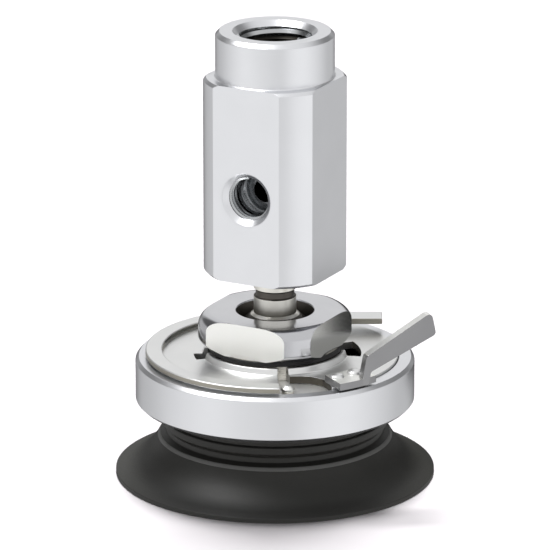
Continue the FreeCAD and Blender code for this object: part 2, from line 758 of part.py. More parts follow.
def make_lock_ring(rivets):
    """A split ring with a raised hub, a flange under the rim's lip and two notches for the housing's lugs."""
    edge = f"({RING_LIP} - lock_clearance)"
    body = turned("lock_ring_blank", [
        (LOCK_HOLE, LOCK_BOTTOM),
        (f"{RING_BORE} - lock_clearance", LOCK_BOTTOM),
        (f"{RING_BORE} - lock_clearance", FLANGE_TOP),
        (edge, FLANGE_TOP),
        (edge, f"{LOCK_TOP} - lock_edge_bevel"),
        (f"{edge} - lock_edge_bevel", LOCK_TOP),
        (f"{HUB_RADIUS} + lock_hub_slope", LOCK_TOP),
        (HUB_RADIUS, HUB_TOP),
        (LOCK_HOLE, HUB_TOP),
    ])
    start = "(stop_bearing - gap_before_stop_angle)"
    finish = "(stop_bearing + gap_after_stop_angle)"
    inner = f"({LOCK_HOLE} - lock_clearance)"
    half_chord = f"((ring_radius - {inner}) / 2)"
    middle = f"({inner} + {half_chord})"
    offset = f"sqrt(gap_edge_radius ^ 2 - {half_chord} ^ 2)"
    centre = (
        f"{middle} * cos({finish}) + {offset} * sin({finish})",
        f"{middle} * sin({finish}) - {offset} * cos({finish})",
    )
    cut_through(body, "lock_gap", [
        polar(inner, start),
        polar("ring_radius", start),
        polar("ring_radius", finish),
        polar(inner, finish),
    ], {2: centre})
    notch_half = "(lug_half_angle + lock_notch_spare_angle)"
    notch_reach = f"({LUG_RADIUS} + lock_clearance)"
    near = f"lock_notch_bearing - {notch_half}"
    far = f"lock_notch_bearing + {notch_half}"
    notch = cut_through(body, "lug_notch", [
        polar(inner, near),
        polar(notch_reach, near),
        polar(notch_reach, far),
        polar(inner, far),
    ], {1: ("0", "0")})
    around(body, notch, "2")
    return without("lock_ring", body, joined("lock_ring_holes", rivets.Links))


def make_lock_band():
    """A flat strip on the lock ring that runs from the gap round the back and covers the joint with the rim."""
    outer = "(ring_radius - band_outer_inset)"
    inner = f"({RING_LIP} - band_inner_inset)"
    top = f"({LOCK_TOP} + band_thickness)"
    body = turned("lock_band", [
        (inner, LOCK_TOP),
        (outer, LOCK_TOP),
        (outer, f"{top} - lock_edge_bevel"),
        (f"{outer} - lock_edge_bevel", top),
        (f"{inner} + lock_edge_bevel", top),
        (inner, f"{top} - lock_edge_bevel"),
    ], sweep="band_angle")
    turn_about_z(body, "band_end_bearing")
    return body


def make_lever(rivets):
    """The foot follows the rim; the handle is a strip on edge that bends up from it and widens to its tip."""
    top = f"{LOCK_TOP} + foot_thickness"
    rim = "(ring_radius - foot_outer_inset)"
    slab = sector("foot_sector", rim, LOCK_TOP, "foot_thickness", "foot_start_bearing", "foot_angle")
    foot = without("foot_blank", slab, upright("foot_inside", f"{rim} - foot_width", LOCK_TOP, top))
    strip = new_body("lever_strip")
    pad = raised(strip, "lever_handle", "XZ_Plane", [
        ("-lever_root_width / 2", LOCK_TOP),
        ("lever_root_width / 2", LOCK_TOP),
        ("lever_root_width", f"{LOCK_TOP} + lever_bend_rise - lever_bend_width"),
        ("lever_reach", f"{LOCK_TOP} + lever_rise - lever_tip_width"),
        ("lever_reach - lever_thickness / 2", f"{LOCK_TOP} + lever_rise"),
        ("0", f"{LOCK_TOP} + lever_bend_rise"),
    ], "lever_thickness", middle=True)
    fillet = strip.newObject("PartDesign::Fillet", "lever_edges")
    fillet.Base = (pad, [""])
    fillet.UseAllEdges = True
    fillet.setExpression("Radius", bound("lever_edge_round"))
    across, along = polar("ring_radius - lever_root_inset", "lever_root_bearing")
    turn_about_z(strip, "lever_bearing")
    strip.setExpression("Placement.Base.x", bound(across))
    strip.setExpression("Placement.Base.y", bound(along))
    doc.recompute()
    return without("lock_lever", joined("lever_blank", [foot, strip]), joined("lever_holes", rivets.Links))


def make_finger_tab(rivets):
    """A leaf that steps up from the lock ring and reaches out over the rim."""
    leaf = new_body("tab_leaf")
    raised(leaf, "tab_step", "XZ_Plane", [
        (TAB_LEFT, LOCK_TOP),
        (f"{TAB_RISER} + tab_thickness", LOCK_TOP),
        (f"{TAB_RISER} + tab_thickness", f"{LOCK_TOP} + tab_rise - tab_thickness"),
        (TAB_RIGHT, f"{LOCK_TOP} + tab_rise - tab_thickness"),
        (TAB_RIGHT, f"{LOCK_TOP} + tab_rise"),
        (TAB_RISER, f"{LOCK_TOP} + tab_rise"),
        (TAB_RISER, f"{LOCK_TOP} + tab_thickness"),
        (TAB_LEFT, f"{LOCK_TOP} + tab_thickness"),
    ], "tab_depth", flipped=True)
    leaf.setExpression("Placement.Base.y", bound(TAB_NEAR))
    doc.recompute()
    return without("finger_tab", leaf, joined("tab_holes", rivets.Links))


screws = make_core_screws()
pin = make_stop_pin()
rivets = make_rivets()
pieces = [
    make_adapter(),
    make_ball_stud(),
    ring_seal("stud_seal", "stud_thread_radius + seal_section", f"{STUD_FLANGE_TOP} + seal_section"),
    make_liner(),
    make_upper_seat(),
    make_lower_seat(),
    make_ball_seal(),
    make_seat_spring(),
    make_housing(),
    make_spigot_seal(),
    make_holder(),
    make_pad_ring(),
    make_base_plate(screws, pin),
    make_pad_core(screws),
    screws,
    make_rubber_pad(),
    pin,
    make_lock_spring(),
    make_lock_ring(rivets),
    make_lock_band(),
    make_lever(rivets),
    make_finger_tab(rivets),
    rivets,
]
doc.recompute()

for item in doc.Objects:
    if "Invalid" in item.State or "Error" in item.State:
        raise RuntimeError(f"{item.Label} failed: {item.State}")
for piece in pieces:
    if piece.Shape.isNull() or not piece.Shape.isValid():
        raise RuntimeError(f"{piece.Label} has no valid shape")

os.makedirs("parts", exist_ok=True)
for piece in pieces:
    piece.Shape.exportStep(f"parts/{piece.Label}.step")
    box = piece.Shape.BoundBox
    solids = len(piece.Shape.Solids)
    print(f"{piece.Label}: {solids} solids, {piece.Shape.Volume:.1f} mm3, z {box.ZMin:.2f} to {box.ZMax:.2f}")
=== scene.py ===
# Ball joint vacuum pad: a square aluminium adapter on a ball stud, held in a round steel holder above
# a clamped aluminium ring with a turning lock ring, over a black rubber suction pad.
# Lengths are millimetres in the part's own frame, with the lip of the pad on z = 0 and the viewer at -y.
import math

import bmesh
import bpy
from mathutils import Matrix, Vector


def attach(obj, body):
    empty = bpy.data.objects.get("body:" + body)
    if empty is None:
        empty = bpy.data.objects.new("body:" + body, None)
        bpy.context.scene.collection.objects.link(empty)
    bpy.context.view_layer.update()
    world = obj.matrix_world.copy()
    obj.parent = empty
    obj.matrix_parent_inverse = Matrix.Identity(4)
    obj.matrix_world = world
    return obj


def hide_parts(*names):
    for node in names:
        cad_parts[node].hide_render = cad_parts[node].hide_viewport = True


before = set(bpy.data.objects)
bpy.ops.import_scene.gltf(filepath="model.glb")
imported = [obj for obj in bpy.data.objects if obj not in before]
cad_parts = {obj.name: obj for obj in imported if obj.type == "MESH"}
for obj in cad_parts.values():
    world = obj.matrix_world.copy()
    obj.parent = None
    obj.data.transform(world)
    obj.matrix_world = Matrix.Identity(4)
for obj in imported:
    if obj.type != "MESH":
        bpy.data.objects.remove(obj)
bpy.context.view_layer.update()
MM = 0.001
# Points that lie closer than this are one point.
DOUBLES = 0.001 * MM

# Levels that several pieces share.
PAD_TOP = 14.9
RING_TOP = 24.0
LOCK_TOP = 24.4
TAB_TOP = 25.6
FOOT_TOP = 25.8
BALL_HEIGHT = 26.2
HOLDER_BOTTOM = 26.6
HOLDER_TOP = 33.4
ADAPTER_BOTTOM = 41.7
ADAPTER_SHOULDER = 81.0
THREAD_SHADE = 86.9
ADAPTER_TOP = 90.0

# Radii, and the distances of the wrench flats from the axis.
BALL_RADIUS = 8.0
NECK_RADIUS = 4.2
GROOVE_RADIUS = 3.8
STUD_BORE = 2.2
HOLDER_RADIUS = 15.2
HOLDER_BORE = 11.05
PLATE_RADIUS = 24.25
MOUNT_RADIUS = 7.2
PORT_RADIUS = 4.3
FLAT_OF_ADAPTER = 12.0
FLAT_OF_HOLDER = 12.5

# The vacuum port; the wrench flats are square to it.
PORT_HEIGHT = 58.8
PORT_BEARING = 242.0

# Colour sockets of a mix node.
MIX_A, MIX_B, MIX_OUT = 6, 7, 2


def linear(hex_colour):
    """An sRGB hex value as a linear colour with full alpha."""
    channels = [int(hex_colour[i:i + 2], 16) / 255 for i in (1, 3, 5)]
    return [c / 12.92 if c <= 0.04045 else ((c + 0.055) / 1.055) ** 2.4 for c in channels] + [1.0]


def add_node(tree, kind, sockets=None, **settings):
    """Adds a node; sockets holds values, or outputs of other nodes to link from."""
    node = tree.nodes.new(kind)
    for name, value in settings.items():
        setattr(node, name, value)
    for name, value in (sockets or {}).items():
        if isinstance(value, bpy.types.NodeSocket):
            tree.links.new(value, node.inputs[name])
        else:
            node.inputs[name].default_value = value
    return node


def new_material(name, **shader_values):
    """An empty material with its shader, and the spot on the piece in millimetres."""
    material = bpy.data.materials.new(name)
    material.use_nodes = True
    tree = material.node_tree
    tree.nodes.clear()
    values = {key.replace("_", " "): value for key, value in shader_values.items()}
    shader = add_node(tree, "ShaderNodeBsdfPrincipled", values)
    add_node(tree, "ShaderNodeOutputMaterial", {"Surface": shader.outputs[0]})
    metres = add_node(tree, "ShaderNodeTexCoord").outputs["Object"]
    spot = add_node(tree, "ShaderNodeVectorMath", {0: metres, "Scale": 1 / MM}, operation="SCALE").outputs[0]
    return material, tree, shader, spot


def cloud_colour(tree, shader, spot, size, detail, dark, light):
    """Soft clouds of two close colours; the size of a cloud is in millimetres."""
    cloud = add_node(tree, "ShaderNodeTexNoise", {"Vector": spot, "Scale": 1 / size, "Detail": detail})
    colours = {0: cloud.outputs["Fac"], MIX_A: linear(dark), MIX_B: linear(light)}
    tone = add_node(tree, "ShaderNodeMix", colours, data_type="RGBA")
    tree.links.new(tone.outputs[MIX_OUT], shader.inputs["Base Color"])


def grain_finish(tree, shader, grain, smooth, rough, strength, depth):
    """Lets a fine grain vary the gloss and stand out a little; its depth is in millimetres."""
    gloss = add_node(tree, "ShaderNodeMapRange", {"Value": grain, "To Min": smooth, "To Max": rough})
    tree.links.new(gloss.outputs[0], shader.inputs["Roughness"])
    bump = add_node(tree, "ShaderNodeBump", {"Strength": strength, "Distance": depth * MM, "Height": grain})
    tree.links.new(bump.outputs[0], shader.inputs["Normal"])


def anodised_aluminium(name, dark, light, smooth, rough):
    """Bead-blasted and clear anodised: a pale, even satin with a grain that only shows in the highlights."""
    material, tree, shader, spot = new_material(name, Metallic=1.0)
    cloud_colour(tree, shader, spot, 9.0, 3.0, dark, light)
    # Blasting grit is about 0.1 mm; it is drawn at 0.3 mm so that it shows.
    grit = add_node(tree, "ShaderNodeTexNoise", {"Vector": spot, "Scale": 1 / 0.3, "Detail": 2.0})
    grain_finish(tree, shader, grit.outputs["Fac"], smooth, rough, 0.10, 0.02)
    return material


def turned_metal(name, dark, light, smooth, rough, feed, depth):
    """A face left by a lathe tool: fine rings about the axis that catch the light, slightly cloudy."""
    material, tree, shader, spot = new_material(name, Metallic=1.0)
    cloud_colour(tree, shader, spot, 5.0, 3.0, dark, light)
    axes = add_node(tree, "ShaderNodeSeparateXYZ", {0: spot}).outputs
    plan = add_node(tree, "ShaderNodeCombineXYZ", {0: axes[0], 1: axes[1]}).outputs[0]
    radius = add_node(tree, "ShaderNodeVectorMath", {0: plan}, operation="LENGTH").outputs["Value"]
    travel = add_node(tree, "ShaderNodeMath", {0: radius, 1: axes[2]}, operation="ADD").outputs[0]
    # A tool's feed is about 0.1 mm; it is drawn coarser so that the rings show.
    rings = add_node(tree, "ShaderNodeTexNoise", {"W": travel, "Scale": 1 / feed, "Detail": 1.0},
                     noise_dimensions="1D")
    grain_finish(tree, shader, rings.outputs["Fac"], smooth, rough, 0.2, depth)
    return material


def tumbled_sheet(name, dark, light, smooth, rough):
    """Stamped stainless sheet, tumbled: soft gloss with short scratches along the rolling grain."""
    material, tree, shader, spot = new_material(name, Metallic=1.0)
    cloud_colour(tree, shader, spot, 6.0, 3.0, dark, light)
    # Scratches about 2.5 mm long and 0.2 mm apart.
    along = add_node(tree, "ShaderNodeMapping", {
        "Vector": spot, "Rotation": (0.0, 0.0, math.radians(25)), "Scale": (0.4, 5.0, 5.0)})
    scratch = add_node(tree, "ShaderNodeTexNoise", {"Vector": along.outputs[0], "Scale": 1.0, "Detail": 4.0})
    grain_finish(tree, shader, scratch.outputs["Fac"], smooth, rough, 0.08, 0.02)
    return material


def moulded(name, dark, light, smooth, rough, grain):
    """Moulded rubber or plastic: a soft skin from the mould's texture, with a faint bloom in the colour."""
    material, tree, shader, spot = new_material(name, Metallic=0.0, IOR=1.5, Specular_IOR_Level=0.36)
    cloud_colour(tree, shader, spot, 7.0, 4.0, dark, light)
    # The skin's own grain is near 0.05 mm; it is drawn coarser so that it shows.
    skin = add_node(tree, "ShaderNodeTexNoise", {"Vector": spot, "Scale": 1 / grain, "Detail": 3.0})
    grain_finish(tree, shader, skin.outputs["Fac"], smooth, rough, 0.2, 0.03)
    return material


# The pale satin of the adapter and of the ring over the pad.
ALUMINIUM = anodised_aluminium("clear_anodised_aluminium", "#dddee1", "#e5e6e9", 0.28, 0.38)
# The plate inside the ring, a little greyer, with fine turned rings.
BASE_ALUMINIUM = turned_metal("turned_aluminium", "#c9cacc", "#d8d8d9", 0.24, 0.40, 0.25, 0.02)
# Tapped walls, coloured greyer than the anodised faces as painted shade inside the holes, with sharp glints
# between the turns of a thread.
SHADED_TAPPED_WALL = turned_metal("tapped_aluminium_painted_shade", "#b2b4b6", "#c0c2c4", 0.14, 0.26, 0.3, 0.02)
# Painted shade: the walls of the holes coloured almost black, standing in for the shade deep inside them
# where no light reaches.
PAINTED_SHADE_BORE = turned_metal("painted_shade_drilled_bore", "#23221f", "#2d2b28", 0.35, 0.5, 0.4, 0.02)
# Plain turned steel, faintly warm, for the stud's hidden end and the pieces inside.
STEEL = turned_metal("turned_steel", "#cdcac4", "#d9d6cf", 0.18, 0.32, 0.22, 0.015)
# Painted shade: steel coloured dark for the ball, the neck's groove and the holder's mouth, standing in for
# the shade in and under the holder.
PAINTED_SHADE_STEEL = turned_metal("painted_shade_steel", "#5a5652", "#6a6660", 0.30, 0.45, 0.3, 0.015)
# Ground steel with a warm, soft shine for the neck and the stop pin, coloured lighter than the turned steel:
# on the neck this is painted light.
LIGHTENED_STEEL = turned_metal("lightened_ground_steel", "#e6e4dc", "#efede6", 0.26, 0.38, 0.22, 0.012)
# The holder's barrel, which mirrors the room with clear light and dark bands.
NICKEL = turned_metal("nickel_plated_steel", "#bebfc3", "#c9c9cc", 0.10, 0.18, 0.28, 0.01)
# Painted highlight: an almost white steel for faces drawn as catching the light: the holder's flat toward the
# port, the lever's upper edge and the pin's head.
PAINTED_HIGHLIGHT_STEEL = turned_metal("painted_highlight_steel", "#f2f2ee", "#f7f7f4", 0.30, 0.42, 0.4, 0.012)
# The flats beside it are cut finer, and mirror enough to run from light to dark.
FINE_MILLED = turned_metal("fine_milled_nickel_steel", "#ebebe7", "#f2f2ee", 0.13, 0.20, 0.4, 0.012)
# Disc springs, brownish from their heat treatment.
SPRING = turned_metal("spring_steel", "#8f8a84", "#a29c94", 0.20, 0.32, 0.3, 0.01)
# The even, light grey of the lock's plate, strip, tab and rivets.
SHEET = tumbled_sheet("tumbled_stainless_sheet", "#dedfdf", "#e8e8e7", 0.28, 0.40)
# Sheared edges of that sheet: duller than its faces, and darkened further as painted shade, which draws a
# brownish line round it.
SHEARED_AND_SHADED = tumbled_sheet("sheared_and_shaded_edge", "#979389", "#a7a49a", 0.32, 0.46)
# Painted shade: the edges of the split coloured dark, darker than the other edges, standing in for the shade
# in the gap.
PAINTED_SHADE_GAP_EDGE = tumbled_sheet("painted_shade_gap_edge", "#4c4943", "#5b5750", 0.40, 0.55)
# Painted light: the floor of the split, a sheet coloured paler than the lock's sheet so that its shaded place
# reads light; it is without reflections.
LIGHTENED_THRUST_SHEET = tumbled_sheet("lightened_thrust_sheet", "#f0f0ee", "#f6f6f4", 0.42, 0.55)
# Painted shade: the lever's sides coloured a plain middle grey, darker than the sheet it is made of, standing
# in for the darker room they face.
PAINTED_SHADE_STRIP = tumbled_sheet("painted_shade_strip", "#89898b", "#969697", 0.24, 0.40)
# The pad's soft black, with a broad dim shine on its flank.
RUBBER = moulded("moulded_black_rubber", "#262623", "#2f2f2c", 0.40, 0.54, 0.35)
# Painted highlight: a greyer line on the pad's shoulder, standing in for the light that its rounded edge
# catches.
PAINTED_HIGHLIGHT_RUBBER = moulded("painted_highlight_rubber", "#6c6d6b", "#7a7b78", 0.40, 0.54, 0.35)
# Seals, and the black ring put under the holder as painted shade, the deepest black.
SEAL = moulded("seal_rubber", "#1c1c1d", "#262627", 0.40, 0.55, 0.3)
# Ball seats and liner, an ivory plastic.
PLASTIC = moulded("seat_plastic", "#d8d4c6", "#e2dfd3", 0.35, 0.45, 0.3)


def rounded(corners, steps=6):
    """A closed section as points; each corner is its radius, its height and its fillet."""
    points = []
    for index, (radius, height, fillet) in enumerate(corners):
        corner = Vector((radius, height))
        if not fillet:
            points.append(corner)
            continue
        before = corners[index - 1]
        after = corners[(index + 1) % len(corners)]
        back = Vector(before[:2]) - corner
        on = Vector(after[:2]) - corner
        half = back.angle(on) / 2
        room_back = back.length * fillet / (fillet + before[2])
        room_on = on.length * fillet / (fillet + after[2])
        reach = min(fillet / math.tan(half), room_back, room_on)
        size = reach * math.tan(half)
        centre = corner + (back.normalized() + on.normalized()).normalized() * size / math.sin(half)
        first = corner + back.normalized() * reach - centre
        last = corner + on.normalized() * reach - centre
        begin = math.atan2(first.y, first.x)
        turn = (math.atan2(last.y, last.x) - begin + math.pi) % (2 * math.pi) - math.pi
        for step in range(steps + 1):
            angle = begin + turn * step / steps
            points.append(centre + size * Vector((math.cos(angle), math.sin(angle))))
    return points


def arc(middle_radius, middle_height, size, start, finish, steps):
    """Corners along an arc of a section, its angles in degrees from the outward direction."""
    angles = [math.radians(start + (finish - start) * step / steps) for step in range(steps + 1)]
    return [(middle_radius + size * math.cos(a), middle_height + size * math.sin(a), 0) for a in angles]


def polar(radius, bearing):
    """A plan point from its distance to the axis and its bearing in degrees."""
    return Vector((radius * math.cos(math.radians(bearing)), radius * math.sin(math.radians(bearing))))


def sweep_of(radius, first, last, steps):
    """Plan points along a circle about the axis, from one bearing to another."""
    return [polar(radius, first + (last - first) * step / steps) for step in range(steps + 1)]


def new_piece(name, points, faces):
    """A mesh object at the origin, with its doubles merged and its faces turned outward."""
    mesh = bpy.data.meshes.new(name)
    mesh.from_pydata([Vector(point) * MM for point in points], [], faces)
    bm = bmesh.new()
    bm.from_mesh(mesh)
    bmesh.ops.remove_doubles(bm, verts=bm.verts, dist=DOUBLES)
    bmesh.ops.dissolve_degenerate(bm, edges=bm.edges, dist=DOUBLES)
    bmesh.ops.recalc_face_normals(bm, faces=bm.faces)
    for face in bm.faces:
        face.smooth = True
    bm.to_mesh(mesh)
    bm.free()
    piece = bpy.data.objects.new(name, mesh)
    bpy.context.scene.collection.objects.link(piece)
    return piece


def turn_on_lathe(name, section, start=0.0, sweep=360.0, segments=192):
    """Turns a section of radius and height about Z; a part turn gets its two end faces."""
    whole = sweep == 360.0
    rows = segments if whole else segments + 1
    points = []
    for row in range(rows):
        for radius, height in section:
            points.append((*polar(radius, start + sweep * row / segments), height))
    count = len(section)
    faces = []
    for row in range(segments):
        here = row * count
        there = (row + 1) % rows * count
        for i in range(count):
            j = (i + 1) % count
            faces.append((here + i, there + i, there + j, here + j))
    if not whole:
        faces.append(tuple(range(count)))
        faces.append(tuple(range(segments * count, rows * count)))
    return new_piece(name, points, faces)


def push_out(name, outline, low, high):
    """A flat outline in plan, pushed out from one level to another."""
    count = len(outline)
    points = [(*point, level) for level in (low, high) for point in outline]
    faces = [(i, (i + 1) % count, (i + 1) % count + count, i + count) for i in range(count)]
    faces += [tuple(range(count)), tuple(range(count, 2 * count))]
    return new_piece(name, points, faces)


def keep_mesh(piece):
    """Makes what the modifiers give the piece's own plain mesh, and removes them."""
    graph = bpy.context.evaluated_depsgraph_get()
    mesh = bpy.data.meshes.new_from_object(piece.evaluated_get(graph))
    piece.modifiers.clear()
    piece.data = mesh
    return piece


def work(piece, tools, operation="DIFFERENCE"):
    """Cuts tools out of the piece, or joins them to it, and clears the tools away."""
    for tool in tools:
        step = piece.modifiers.new("work", "BOOLEAN")
        step.operation = operation
        step.object = tool
        step.solver = "EXACT"
    keep_mesh(piece)
    for tool in tools:
        bpy.data.objects.remove(tool)


def round_edges(piece, size):
    """Rounds every edge that is sharper than the steps of a turned face."""
    bevel = piece.modifiers.new("edge", "BEVEL")
    bevel.width = size * MM
    bevel.segments = 3
    bevel.limit_method = "ANGLE"
    bevel.angle_limit = math.radians(24)
    keep_mesh(piece)


def shade(piece):
    """Smooth shading that leaves real corners crisp and flat faces flat."""
    piece.data.set_sharp_from_angle(angle=math.radians(35))
    normals = piece.modifiers.new("normals", "WEIGHTED_NORMAL")
    normals.weight = 90
    normals.keep_sharp = True
    keep_mesh(piece)


def place(piece, finish, body, slot, *nodes):
    """Gives a finished piece its material, its body and the nodes that it stands for."""
    shade(piece)
    piece.data.materials.clear()
    piece.data.materials.append(finish)
    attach(piece, body)
    if nodes:
        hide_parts(*nodes)


def finish_part(piece, finish, chosen):
    """Gives another finish to the faces chosen by their middle, in millimetres, and their direction."""
    piece.data.materials.append(finish)
    for face in piece.data.polygons:
        if chosen(face.center / MM, face.normal):
            face.material_index = len(piece.data.materials) - 1


def is_upright(normal):
    """True for the edges of flat stock, whose faces stand upright."""
    return abs(normal.z) < 0.3


def flat_cutters(distance, low, high):
    """Four slabs that mill the wrench flats, square to the port."""
    clear = 20
    corners = ((distance, -clear), (clear, -clear), (clear, clear), (distance, clear))
    slabs = []
    for turn in range(4):
        spin = Matrix.Rotation(math.radians(PORT_BEARING + 90 * turn), 2)
        outline = [spin @ Vector(corner) for corner in corners]
        slabs.append(push_out("flat_cutter", outline, low, high))
    return slabs


# Turns the lathe's axis level, out through the port.
TO_PORT = (Matrix.Translation((0, 0, PORT_HEIGHT * MM)) @ Matrix.Rotation(math.radians(PORT_BEARING), 4, "Z")
           @ Matrix.Rotation(math.radians(90), 4, "Y"))
# Stands a flat outline up, so that its second measure becomes the height.
UPRIGHT = Matrix.Rotation(math.radians(90), 4, "X")


def make_adapter():
    """The square bar with turned corners and collar, bored for the mounting thread and the vacuum port."""
    passage = 2.5
    body = turn_on_lathe("adapter", rounded([
        (0, 61.3, 0), (passage, 61.3, 0), (passage, 53.2, 0), (5.0, 53.2, 0), (5.0, 45.2, 0), (6.5, 45.2, 0),
        (6.5, ADAPTER_BOTTOM, 0.2), (13.4, ADAPTER_BOTTOM, 0.2), (14.0, 42.3, 0.2),
        (14.0, 80.4, 0.2), (13.4, ADAPTER_SHOULDER, 0.2), (11.6, ADAPTER_SHOULDER, 0.35),
        (11.6, 89.2, 0.25), (10.8, ADAPTER_TOP, 0.25), (8.3, ADAPTER_TOP, 0.2), (MOUNT_RADIUS, 88.9, 0.1),
        (MOUNT_RADIUS, THREAD_SHADE, 0), (MOUNT_RADIUS, 74.0, 0), (0, 69.84, 0),
    ]))
    port = turn_on_lathe("port_cutter", rounded([
        (0, 0, 0), (2.45, 0, 0), (2.45, 4.0, 0), (PORT_RADIUS, 4.0, 0), (PORT_RADIUS, 10.9, 0),
        (5.3, 11.9, 0.5), (7.0, 12.05, 0), (7.0, 13.0, 0), (0, 13.0, 0),
    ]), segments=96)
    port.data.transform(TO_PORT)
    work(body, flat_cutters(FLAT_OF_ADAPTER, 40, ADAPTER_SHOULDER + 0.5))
    round_edges(body, 0.22)
    work(body, [port])
    place(body, ALUMINIUM, "adapter", "clear_anodised_aluminium", "adapter_body")
    to_port = TO_PORT.inverted()
    slack = 0.1
    mount_floor = 69

    def in_painted_shade(middle, normal):
        """The drilled passages and the lower part of the mounting hole, which get the painted shade."""
        along = to_port @ (middle * MM) / MM
        across = along.xy.length < passage + slack and 0 < along.z < 4.1
        upward = middle.xy.length < passage + slack and middle.z < 62
        mount = middle.xy.length < MOUNT_RADIUS + slack and mount_floor < middle.z < THREAD_SHADE
        return across or upward or mount

    def in_thread(middle, normal):
        """The tapped walls of both holes, which get the painted shade."""
        along = to_port @ (middle * MM) / MM
        mount = middle.xy.length < MOUNT_RADIUS + slack and middle.z > mount_floor
        return mount or along.xy.length < PORT_RADIUS + slack and 3.9 < along.z < 10.8

    finish_part(body, SHADED_TAPPED_WALL, in_thread)
    # Painted shade in the drilled holes.
    finish_part(body, PAINTED_SHADE_BORE, in_painted_shade)


def make_stud():
    """The ball, its neck with a relief groove under the adapter, and the flange and thread inside it."""
    bore_angle = math.degrees(math.asin(STUD_BORE / BALL_RADIUS)) - 90
    neck_angle = math.degrees(math.acos(NECK_RADIUS / BALL_RADIUS))
    ball_end = 32.6
    groove_low = 36.4
    groove_high = 37.95
    stud = turn_on_lathe("stud", rounded([
        *arc(0, BALL_HEIGHT, BALL_RADIUS, bore_angle, neck_angle, 48),
        (NECK_RADIUS, 36.3, 0.1), (GROOVE_RADIUS, 36.6, 0.1), (GROOVE_RADIUS, 37.7, 0.1),
        (NECK_RADIUS, 38.0, 0.1), (NECK_RADIUS, 41.9, 0.4), (6.2, 41.9, 0.15), (6.2, 43.9, 0.1),
        (5.0, 43.9, 0), (5.0, 52.9, 0.3), (STUD_BORE, 52.9, 0),
    ]), segments=128)
    place(stud, STEEL, "adapter", "turned_steel", "ball_stud")
    # Painted shade: the ball inside the holder is coloured dark.
    finish_part(stud, PAINTED_SHADE_STEEL, lambda middle, normal: middle.z < ball_end)
    # Painted light: the neck is coloured lighter than the stud's turned steel.
    finish_part(stud, LIGHTENED_STEEL, lambda middle, normal: ball_end <= middle.z < ADAPTER_BOTTOM)
    # Painted shade: the neck's groove under the adapter is coloured dark.
    finish_part(stud, PAINTED_SHADE_STEEL, lambda middle, normal: groove_low < middle.z < groove_high)


def make_holder():
    """The round holder that closes over the ball, barrel-shaped with four wrench flats."""
    holder = turn_on_lathe("holder", rounded([
        (HOLDER_BORE, HOLDER_BOTTOM, 0), (13.3, HOLDER_BOTTOM, 0.2), (HOLDER_RADIUS, 27.9, 0.9),
        (HOLDER_RADIUS, HOLDER_TOP, 2.5), (7.7, HOLDER_TOP, 0.3), (6.9, 30.45, 0.1), (HOLDER_BORE, 30.45, 0),
    ], steps=10))
    work(holder, flat_cutters(FLAT_OF_HOLDER, 25, 36))
    round_edges(holder, 0.12)
    place(holder, NICKEL, "pad", "nickel_plated_steel", "ball_holder")
    toward_port = polar(1, PORT_BEARING)
    # Only a flat's own face looks this nearly along its direction.
    straight = 0.9995
    # Painted shade: the holder's mouth is coloured dark.
    finish_part(holder, PAINTED_SHADE_STEEL, lambda middle, normal: middle.xy.length < 7.5)
    # Painted highlight: the flat toward the port is coloured almost white.
    finish_part(holder, PAINTED_HIGHLIGHT_STEEL, lambda middle, normal: normal.xy.dot(toward_port) > straight)
    finish_part(holder, FINE_MILLED, lambda middle, normal: abs(normal.xy.cross(toward_port)) > straight)


def make_pad_ring():
    """The turned ring that clamps the pad, bevelled top and bottom."""
    ring = turn_on_lathe("ring", rounded([
        (25.9, PAD_TOP, 0), (26.8, PAD_TOP, 0.2), (27.5, 15.6, 0.3), (27.5, 23.3, 0.3), (26.8, RING_TOP, 0.2),
        (24.4, RING_TOP, 0.2), (24.4, 22.8, 0), (25.9, 22.8, 0),
    ]), segments=256)
    place(ring, ALUMINIUM, "pad", "clear_anodised_aluminium", "pad_ring")


